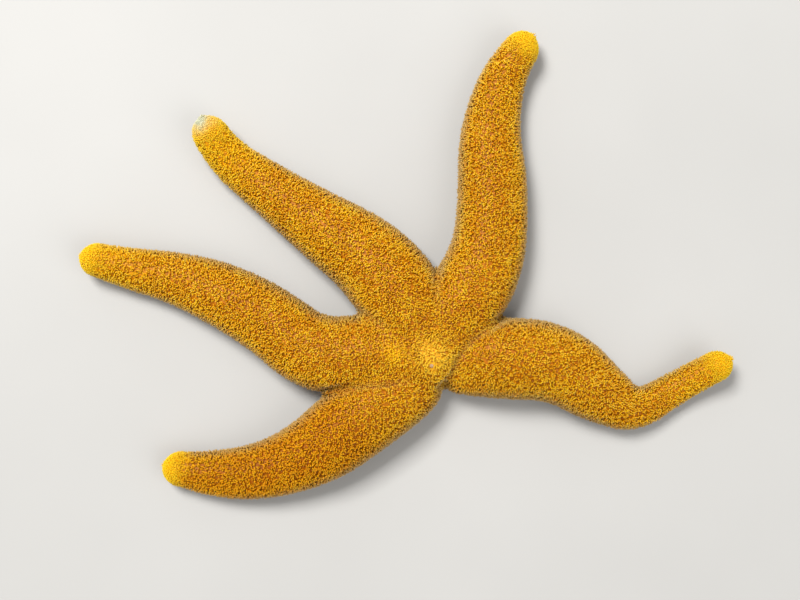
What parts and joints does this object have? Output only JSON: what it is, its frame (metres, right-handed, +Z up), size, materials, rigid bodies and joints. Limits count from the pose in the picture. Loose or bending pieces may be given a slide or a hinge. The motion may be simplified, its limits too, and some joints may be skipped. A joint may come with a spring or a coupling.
{
  "type": "blood starfish",
  "caption": "Life-size blood starfish lying on the floor: five round, tapering arms with curled-up tips and a furrow beneath, round a small disc with a sieve plate",
  "frame": {"origin": "bottom centre of the part's box, on the floor", "axes": "+X along the longest side, towards the bent arm's tip; +Y towards the upright arm's tip; +Z up, away from the mouth"},
  "size_m": [0.1244, 0.0896, 0.0132],
  "materials": {
    "skin": "orange skin under a close coat of small blunt spines",
    "tip_skin": "the same skin, yellow at the ends of the arms",
    "plate": "pale, finely grooved lime plate",
    "eyespot": "small dark red cushion"
  },
  "bodies": {
    "root": {"disc": "skin", "madreporite": "plate", "arm_1_base": "skin", "arm_1_middle": "skin", "arm_1_outer": "skin", "arm_1_tip": "tip_skin", "arm_1_eyespot": "eyespot", "arm_2_base": "skin", "arm_2_middle": "skin", "arm_2_outer": "skin", "arm_2_tip": "tip_skin", "arm_2_eyespot": "eyespot", "arm_3_base": "skin", "arm_3_middle": "skin", "arm_3_outer": "skin", "arm_3_tip": "tip_skin", "arm_3_eyespot": "eyespot", "arm_4_base": "skin", "arm_4_middle": "skin", "arm_4_outer": "skin", "arm_4_tip": "tip_skin", "arm_4_eyespot": "eyespot", "arm_5_base": "skin", "arm_5_middle": "skin", "arm_5_outer": "skin", "arm_5_tip": "tip_skin", "arm_5_eyespot": "eyespot", "jaw_1": "plate", "jaw_2": "plate", "jaw_3": "plate", "jaw_4": "plate", "jaw_5": "plate"}
  },
  "joints": []
}
